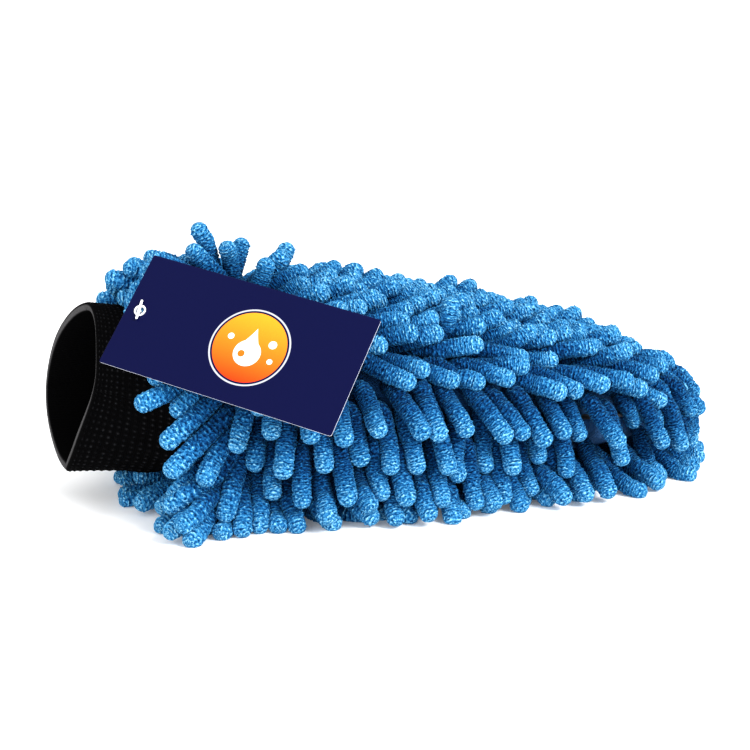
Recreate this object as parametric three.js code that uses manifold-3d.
// Chenille wash mitt with a knitted cuff and a pinned hang tag, in millimetres, +Z up.
// The mitt lies on its palm, filled out as it is for display: +X runs from the cuff to the fingertips.
// Every soft piece is a plain solid of the right size and place. The cloth is a dome over a mitt-shaped
// outline: the back panel rises from the side seam and the palm panel falls from it, both as superellipses.
import * as THREE from "three";
import { mergeVertices } from "three/addons/utils/BufferGeometryUtils.js";
import Module from "manifold-3d";

const wasm = await Module();
wasm.setup();

// ---------------------------------------------------------------- driving dimensions
// The working frame has x = 0 at the cuff seam, y = 0 on the middle line and z = 0 on the table.

const clothLength = 233; // cuff seam to fingertip seam
const clothHalfWidth = 62;
const jointHalfWidth = 43; // half width of the cloth at the cuff seam
const shoulderLength = 44; // over which the cloth widens from the cuff seam
const tipLength = 98; // rounded stretch of the outline at the fingertips
const outlinePower = 2.1;
const backPower = 2.4;
const palmPower = 4;

const crownHeight = 81; // top of the cloth at the cuff seam
const crownFall = 42; // how much lower the crown line is at the fingertips
const crownStart = 20; // where the crown line starts to fall
const crownPower = 1.25;
const seamHeightJoint = 46;
const seamHeightTip = 28;
const soleHeight = 14; // underside of the cloth, carried by the crushed pile

const clothWall = 1.8;
const liningWall = 0.8;
const clearance = 0.5; // between layers of cloth
const seamTapeThick = 1.5;
const seamTapeWidth = 6;

const backRows = 13;
const palmRows = 12;
const pileBack = 22;
const pileStart = 0.6; // how thick the pile is at the cuff, where it lies down, as a share
const pileStartReach = 36;
const pileSide = 16;
const pileSole = 17;
const pileOverCuff = 16; // how far the first tufts lean back over the cuff
const pileLeanReach = 34;
const rowGap = 0.7;

const cuffLength = 57;
const cuffLayer = 1.5;
const cuffLayerGap = 0.7;
const mouthHalfHeight = 36;
const mouthNearWidth = 17; // from the mouth's middle line to its near and its far side
const mouthFarWidth = 25;
const mouthCentre = new THREE.Vector2(6, 50); // y and z
const mouthTilt = THREE.MathUtils.degToRad(7);
const mouthTurn = 0.35; // how far the mouth's plane faces the near side, as a slope
const mouthLean = 0.18; // and how far it leans back, as a slope
const bindingThick = 1;
const bindingWidth = 14;
const bindingClearance = 0.8; // between it and the layers that it is sewn to

const cardLength = 101.6;
const cardWidth = 50.8;
const cardThick = 0.6;
const cardCorner = 0.8;
const holeFromEdge = 6; // hole's centre from the card's short edge
const holeFromMiddle = 0.3; // and from its long middle line
const cardYaw = THREE.MathUtils.degToRad(-32); // the card's face, turned from -Y towards -X
const cardPitch = THREE.MathUtils.degToRad(37); // leaning back
const cardRoll = THREE.MathUtils.degToRad(-15); // its long side, falling to the right
const eyeletRadius = 2.5;
const eyeletBore = 1.7;
const eyeletFlange = 0.3;
const eyeletBarrel = 2.1;
const eyeletFit = 0.1; // between the barrel and the hole
const clinchFit = 0.05; // between the flanges and the card
const stemRadius = 0.35;
const cardLift = 2.6; // the card's back above the highest tuft under its plane
const anchorDrop = 4.3; // the inner bar below the cuff's inner face
const barRadius = 0.5;
const barLength = 8.8;
const barTurn = THREE.MathUtils.degToRad(10); // the bar, turned from the card's short side
const barFit = 0.15; // between the front bar and the eyelet
const pinFit = 0.35; // clearance round the stem where it goes through a wall
const pinSplit = 0.6; // between the stem and the anchor, which are one filament bending at the knit
const pinAlongCuff = 29.5; // where the stem leaves the cuff: from the mouth's fold
const pinRound = THREE.MathUtils.degToRad(132); // and round the cuff from +Y over the top

// ---------------------------------------------------------------- materials

const finish = (color, roughness) => new THREE.MeshStandardMaterial({ color, roughness, metalness: 0 });
const chenille = finish(0x2f86d2, 0.95);
const baseCloth = finish(0x1d5fa8, 0.9);
const liningCloth = finish(0x1b2f52, 0.85);
const knit = finish(0x101011, 0.95);
const tape = finish(0x14161a, 0.9);
const cardStock = finish(0x171a4f, 0.4);
const nylon = finish(0xf2f2ee, 0.35);

// ---------------------------------------------------------------- shape helpers

const clamp = (t) => THREE.MathUtils.clamp(t, 0, 1);
const ease = (t) => THREE.MathUtils.smoothstep(t, 0, 1);
const power = (base, exponent) => Math.sign(base) * Math.abs(base) ** exponent;

// A closed geometry with only positions left and its shared vertices merged.
function closed(geometry) {
  geometry.deleteAttribute("normal");
  geometry.deleteAttribute("uv");
  const merged = mergeVertices(geometry, 1e-4);
  merged.computeVertexNormals();
  return merged;
}

// A solid between two grids of points, place(u, v, 0) below and place(u, v, 1) above, with u and v from 0 to 1.
// Both grids are cut into triangles along the same diagonals, so that solids made alike nest in each other.
function slab(stepsU, stepsV, place) {
  const positions = [];
  for (const w of [0, 1])
    for (let i = 0; i <= stepsU; i++)
      for (let j = 0; j <= stepsV; j++) positions.push(...place(i / stepsU, j / stepsV, w).toArray());
  const at = (w, i, j) => (w * (stepsU + 1) + i) * (stepsV + 1) + j;
  const index = [];
  const quad = (a, b, c, d) => index.push(a, b, c, a, c, d);
  for (let i = 0; i < stepsU; i++) {
    for (let j = 0; j < stepsV; j++) {
      quad(at(1, i, j), at(1, i + 1, j), at(1, i + 1, j + 1), at(1, i, j + 1));
      quad(at(0, i + 1, j + 1), at(0, i + 1, j), at(0, i, j), at(0, i, j + 1));
    }
    quad(at(0, i, 0), at(0, i + 1, 0), at(1, i + 1, 0), at(1, i, 0));
    quad(at(0, i, stepsV), at(1, i, stepsV), at(1, i + 1, stepsV), at(0, i + 1, stepsV));
  }
  for (let j = 0; j < stepsV; j++) {
    quad(at(0, 0, j + 1), at(0, 0, j), at(1, 0, j), at(1, 0, j + 1));
    quad(at(0, stepsU, j), at(0, stepsU, j + 1), at(1, stepsU, j + 1), at(1, stepsU, j));
  }
  const geometry = new THREE.BufferGeometry();
  geometry.setAttribute("position", new THREE.Float32BufferAttribute(positions, 3));
  geometry.setIndex(index);
  geometry.computeVertexNormals();
  return geometry;
}

function solidOf(geometry) {
  return new wasm.Manifold(
    new wasm.Mesh({
      numProp: 3,
      vertProperties: geometry.attributes.position.array,
      triVerts: new Uint32Array(geometry.index.array),
    }),
  );
}

function geometryOf(solid) {
  const made = solid.getMesh();
  const geometry = new THREE.BufferGeometry();
  geometry.setAttribute("position", new THREE.BufferAttribute(Float32Array.from(made.vertProperties), 3));
  geometry.setIndex(new THREE.BufferAttribute(Uint32Array.from(made.triVerts), 1));
  geometry.computeVertexNormals();
  return geometry;
}

const mitt = new THREE.Group();

function piece(name, geometry, material, parent = mitt) {
  const mesh = new THREE.Mesh(geometry, material);
  mesh.name = name;
  parent.add(mesh);
  return mesh;
}

// ---------------------------------------------------------------- the cloth's surface

const seamGap = seamTapeThick / 2 + 0.3;
const tipStart = clothLength - tipLength;

const halfWidthAt = (x) => THREE.MathUtils.lerp(jointHalfWidth, clothHalfWidth, ease(x / shoulderLength));
const seamAt = (x) => THREE.MathUtils.lerp(seamHeightJoint, seamHeightTip, clamp(x / clothLength));
const crownAt = (x) =>
  crownHeight - crownFall * clamp((x - crownStart) / (clothLength - crownStart)) ** crownPower;

// Each half of the cloth: back above the seam (up = 1), palm below it (up = -1).
const halves = {
  back: { up: 1, rows: backRows, bend: backPower, pile: pileBack, rise: (x) => crownAt(x) - seamAt(x) },
  palm: { up: -1, rows: palmRows, bend: palmPower, pile: pileSole, rise: (x) => seamAt(x) - soleHeight },
};

// Half a section of the cloth, whose equal steps give the rows their even pitch.
class SectionCurve extends THREE.Curve {
  constructor(half) {
    super();
    this.half = half;
  }
  getPoint(t) {
    const angle = Math.PI * (1 - t);
    const rise = this.half.rise(clothLength / 2) - seamGap;
    const y = clothHalfWidth * power(Math.cos(angle), 2 / this.half.bend);
    return new THREE.Vector3(0, y, rise * power(Math.sin(angle), 2 / this.half.bend));
  }
}

for (const half of Object.values(halves)) half.section = new SectionCurve(half);

// y as a share of the half width, for a share of the way across the cloth.
function acrossShare(half, across) {
  const angle = Math.PI * (1 - half.section.getUtoTmapping(clamp(across)));
  return power(Math.cos(angle), 2 / half.bend);
}

// A point of a dome parallel to the cloth, grown sideways and upwards from it. It goes along from the cuff
// seam to the outline, and across from -y to +y on the back and back again on the palm, so that both
// halves face outwards.
function domePoint(half, along, across, sideways, upwards) {
  const share = half.up * acrossShare(half, across);
  const tip = tipLength + sideways;
  const end = tipStart + tip * Math.max(0, 1 - Math.abs(share) ** outlinePower) ** (1 / outlinePower);
  const x = end * Math.sin((along * Math.PI) / 2);
  const past = Math.max(0, x - tipStart) / tip;
  const reach = (Math.abs(share) ** outlinePower + past ** outlinePower) ** (1 / outlinePower);
  const dome = Math.max(0, 1 - reach ** half.bend) ** (1 / half.bend);
  const lift = seamGap + (half.rise(x) - seamGap + upwards) * dome;
  return new THREE.Vector3(x, share * (halfWidthAt(x) + sideways), seamAt(x) + half.up * lift);
}

const stepsAlong = 12;

// A layer of cloth between two depths below the outer face.
const clothLayer = (half, outer, inner) =>
  slab(stepsAlong, half.rows, (u, v, w) => {
    const depth = THREE.MathUtils.lerp(inner, outer, w);
    return domePoint(half, u, v, -depth, -depth);
  });

// ---------------------------------------------------------------- panels, lining and side seam

piece("back_panel", clothLayer(halves.back, 0, clothWall), baseCloth);
piece("palm_panel", clothLayer(halves.palm, 0, clothWall), baseCloth);
const liningTop = clothWall + clearance;
piece("back_lining", clothLayer(halves.back, liningTop, liningTop + liningWall), liningCloth);
piece("palm_lining", clothLayer(halves.palm, liningTop, liningTop + liningWall), liningCloth);

// The outline from the near end of the cuff seam round the fingertips to the far end.
class OutlineCurve extends THREE.Curve {
  getPoint(t) {
    const straight = 0.3;
    const side = t < 0.5 ? -1 : 1;
    const run = Math.min(t, 1 - t);
    if (run < straight) {
      const x = (tipStart * run) / straight;
      return new THREE.Vector3(x, side * halfWidthAt(x), seamAt(x));
    }
    const angle = ((run - straight) / (0.5 - straight)) * (Math.PI / 2);
    const x = tipStart + tipLength * power(Math.sin(angle), 2 / outlinePower);
    const y = side * clothHalfWidth * power(Math.cos(angle), 2 / outlinePower);
    return new THREE.Vector3(x, y, seamAt(x));
  }
}

const outline = new OutlineCurve();
piece(
  "side_seam_tape",
  slab(44, 1, (u, v, w) => {
    const p = outline.getPointAt(u);
    const ahead = outline.getTangentAt(THREE.MathUtils.clamp(u, 0.002, 0.998));
    const outwards = new THREE.Vector3(ahead.y, -ahead.x, 0).normalize();
    p.addScaledVector(outwards, seamTapeWidth * (0.5 - v));
    p.z += seamTapeThick * (w - 0.5);
    return p;
  }),
  tape,
);

// ---------------------------------------------------------------- rows of pile

// One row of chenille: a band from the cuff seam to the outline, as thick as its tufts stand, leaning back
// over the cuff where it starts and crushed flat where the mitt lies on it.
function pileRow(half, row) {
  const margin = rowGap / 2 / half.section.getLength();
  const from = row / half.rows + margin;
  const to = (row + 1) / half.rows - margin;
  return slab(stepsAlong, 2, (u, v, w) => {
    const x = clothLength * Math.sin((u * Math.PI) / 2);
    const full = THREE.MathUtils.lerp(pileStart, 1, ease(x / pileStartReach));
    const sideways = THREE.MathUtils.lerp(clearance, pileSide * full, w);
    const upwards = THREE.MathUtils.lerp(clearance, half.pile * full, w);
    const p = domePoint(half, u, THREE.MathUtils.lerp(from, to, v), sideways, upwards);
    p.x -= pileOverCuff * w * (1 - ease(x / pileLeanReach));
    p.z = Math.max(p.z, 0);
    return p;
  });
}

const twoDigits = (n) => String(n + 1).padStart(2, "0");
const rows = [];
for (const [side, half] of Object.entries(halves))
  for (let row = 0; row < half.rows; row++)
    rows.push(piece(side + "_tuft_row_" + twoDigits(row), pileRow(half, row), chenille));

// ---------------------------------------------------------------- cuff

// The mouth's fold: a leaf shape, taller than wide, in a plane turned to the near side and leaning back.
function mouthPoint(angle) {
  const side = Math.cos(angle) < 0 ? mouthNearWidth : mouthFarWidth;
  const flat = new THREE.Vector2(side * power(Math.cos(angle), 1.2), mouthHalfHeight * Math.sin(angle));
  flat.rotateAround(new THREE.Vector2(), -mouthTilt);
  const x = -cuffLength - mouthTurn * flat.x + mouthLean * flat.y;
  return new THREE.Vector3(x, mouthCentre.x + flat.x, mouthCentre.y + flat.y);
}

// The cuff seam, which is the cloth's own section.
function jointPoint(angle) {
  const half = Math.sin(angle) < 0 ? halves.palm : halves.back;
  const y = jointHalfWidth * power(Math.cos(angle), 2 / half.bend);
  const lift = Math.abs(Math.sin(angle)) ** (2 / half.bend);
  return new THREE.Vector3(0, y, seamAt(0) + half.up * (seamGap + (half.rise(0) - seamGap) * lift));
}

// A point of the cuff: along from the mouth's fold, round from +Y over the top, and depth below its face.
function cuffPoint(along, angle, depth) {
  const share = clamp(along / cuffLength);
  const p = mouthPoint(angle).lerp(jointPoint(angle), ease(share) * 0.6 + share * 0.4);
  p.x += Math.max(0, along - cuffLength);
  const middle = new THREE.Vector3(0, mouthCentre.x, mouthCentre.y);
  middle.lerp(new THREE.Vector3(0, 0, (crownHeight + soleHeight) / 2), share).setX(p.x);
  return p.add(middle.sub(p).setLength(depth));
}

// A ring of cuff fabric, from a closed profile of depth and distance along the cuff.
function cuffRing(profile, steps) {
  const base = 100;
  const points = [...profile, profile[0]].map(([depth, along]) => new THREE.Vector2(base - depth, along));
  const ring = closed(new THREE.LatheGeometry(points, steps));
  const at = ring.getAttribute("position");
  for (let i = 0; i < at.count; i++) {
    const radius = Math.hypot(at.getX(i), at.getZ(i));
    const angle = Math.atan2(at.getZ(i), at.getX(i));
    at.setXYZ(i, ...cuffPoint(at.getY(i), angle, base - radius).toArray());
  }
  ring.computeVertexNormals();
  return ring;
}

// Two layers of rib knit, joined by the fold at the mouth and open at the cuff seam.
function cuffProfile() {
  const thick = 2 * cuffLayer + cuffLayerGap;
  const end = cuffLength - clearance;
  const fold = (radius, steps) =>
    Array.from({ length: steps + 1 }, (_, i) => {
      const turn = (i / steps) * Math.PI;
      return [thick / 2 - radius * Math.cos(turn), thick / 2 - radius * Math.sin(turn)];
    });
  const rungs = [0.25, 0.5, 0.75].map((share) => end * share);
  const outwards = [...rungs, end];
  const layer = (depth, stations) => stations.map((along) => [depth, along]);
  return [
    ...layer(0, [...outwards].reverse()),
    ...fold(thick / 2, 4),
    ...layer(thick, outwards),
    ...layer(thick - cuffLayer, [...outwards].reverse()),
    ...fold(cuffLayerGap / 2, 2).reverse(),
    ...layer(cuffLayer, outwards),
  ];
}

const cuffThick = 2 * cuffLayer + cuffLayerGap;
const bindingDepth = Math.max(cuffThick, liningTop + liningWall) + bindingClearance;
const bindingEnds = [cuffLength - bindingWidth / 2, cuffLength + bindingWidth / 2];
piece(
  "cuff_seam_binding",
  cuffRing(
    [
      [bindingDepth, bindingEnds[1]],
      [bindingDepth, bindingEnds[0]],
      [bindingDepth + bindingThick, bindingEnds[0]],
      [bindingDepth + bindingThick, bindingEnds[1]],
    ],
    40,
  ),
  tape,
);

// ---------------------------------------------------------------- hang tag and its pin

// The tag's own frame: origin in the hole, x along the card, y up the card, z out of its face.
const tagTurn = new THREE.Quaternion().setFromEuler(
  new THREE.Euler(Math.PI / 2 - cardPitch, 0, cardYaw, "ZXY"),
);
tagTurn.multiply(new THREE.Quaternion().setFromAxisAngle(new THREE.Vector3(0, 0, 1), cardRoll));
const tagNormal = new THREE.Vector3(0, 0, 1).applyQuaternion(tagTurn);
const pinExit = cuffPoint(pinAlongCuff, pinRound, 0);

// The card's plane clears all the pile, so the pin is as long as that takes.
function pileAbovePin() {
  const heights = rows.flatMap((row) => {
    const at = row.geometry.getAttribute("position");
    const vertex = (_, i) => new THREE.Vector3().fromBufferAttribute(at, i).sub(pinExit).dot(tagNormal);
    return Array.from({ length: at.count }, vertex);
  });
  return Math.max(...heights);
}

const stemLength = pileAbovePin() + cardLift + cardThick / 2;
const stemDepth = cuffThick + anchorDrop;
const tag = new THREE.Group();
tag.quaternion.copy(tagTurn);
tag.position.set(0, 0, stemLength).applyQuaternion(tagTurn).add(pinExit);
mitt.add(tag);

// The stem goes out through both layers of the cuff, so they are bored for it.
const bore = new THREE.CylinderGeometry(stemRadius + pinFit, stemRadius + pinFit, 2 * stemDepth, 12);
bore.rotateX(Math.PI / 2).applyQuaternion(tagTurn).translate(...pinExit.toArray());
const cuffSolid = solidOf(cuffRing(cuffProfile(), 44)).subtract(solidOf(closed(bore)));
piece("rib_knit_cuff", geometryOf(cuffSolid), knit);

function cardGeometry() {
  const left = -holeFromEdge;
  const right = left + cardLength;
  const top = cardWidth / 2 - holeFromMiddle;
  const bottom = top - cardWidth;
  const shape = new THREE.Shape();
  shape.moveTo(left + cardCorner, bottom);
  shape.lineTo(right - cardCorner, bottom);
  shape.absarc(right - cardCorner, bottom + cardCorner, cardCorner, -Math.PI / 2, 0);
  shape.lineTo(right, top - cardCorner);
  shape.absarc(right - cardCorner, top - cardCorner, cardCorner, 0, Math.PI / 2);
  shape.lineTo(left + cardCorner, top);
  shape.absarc(left + cardCorner, top - cardCorner, cardCorner, Math.PI / 2, Math.PI);
  shape.lineTo(left, bottom + cardCorner);
  shape.absarc(left + cardCorner, bottom + cardCorner, cardCorner, Math.PI, 1.5 * Math.PI);
  const hole = new THREE.Path();
  hole.absarc(0, 0, eyeletBarrel + eyeletFit, 0, 2 * Math.PI, true);
  shape.holes.push(hole);
  const card = new THREE.ExtrudeGeometry(shape, { depth: cardThick, bevelEnabled: false, curveSegments: 6 });
  return closed(card.translate(0, 0, -cardThick / 2));
}

// A plastic eyelet clinched over both faces of the card.
function eyeletGeometry() {
  const face = cardThick / 2 + clinchFit;
  const lip = face + eyeletFlange;
  const profile = [
    [eyeletBore, -lip],
    [eyeletRadius, -lip],
    [eyeletRadius, -face],
    [eyeletBarrel, -face],
    [eyeletBarrel, face],
    [eyeletRadius, face],
    [eyeletRadius, lip],
    [eyeletBore, lip],
    [eyeletBore, -lip],
  ];
  const ring = new THREE.LatheGeometry(profile.map(([r, z]) => new THREE.Vector2(r, z)), 20);
  return closed(ring.rotateX(Math.PI / 2));
}

function barGeometry(height) {
  const bar = new THREE.CapsuleGeometry(barRadius, barLength - 2 * barRadius, 2, 8);
  return closed(bar.rotateZ(barTurn).translate(0, 0, height));
}

const barHeight = cardThick / 2 + clinchFit + eyeletFlange + barRadius + barFit;

function stemGeometry() {
  const length = stemLength + barHeight - pinSplit / 2;
  const stem = new THREE.CylinderGeometry(stemRadius, stemRadius, length, 8);
  stem.rotateX(Math.PI / 2).translate(0, 0, barHeight - length / 2);
  return geometryOf(solidOf(closed(stem)).add(solidOf(barGeometry(barHeight))));
}

function anchorGeometry() {
  const length = stemDepth - pinSplit / 2;
  const stub = new THREE.CylinderGeometry(stemRadius, stemRadius, length, 8);
  stub.rotateX(Math.PI / 2).translate(0, 0, -stemLength - stemDepth + length / 2);
  return geometryOf(solidOf(closed(stub)).add(solidOf(barGeometry(-stemLength - stemDepth))));
}

piece("hang_tag_card", cardGeometry(), cardStock, tag);
piece("hang_tag_eyelet", eyeletGeometry(), nylon, tag);
piece("tag_pin_stem", stemGeometry(), nylon, tag);
piece("tag_pin_anchor", anchorGeometry(), nylon, tag);

// ---------------------------------------------------------------- origin: middle of the box, on the table

mitt.updateMatrixWorld(true);
const box = new THREE.Box3().setFromObject(mitt, true);
const middle = box.getCenter(new THREE.Vector3());
mitt.position.set(-middle.x, -middle.y, -box.min.z);

export default mitt;
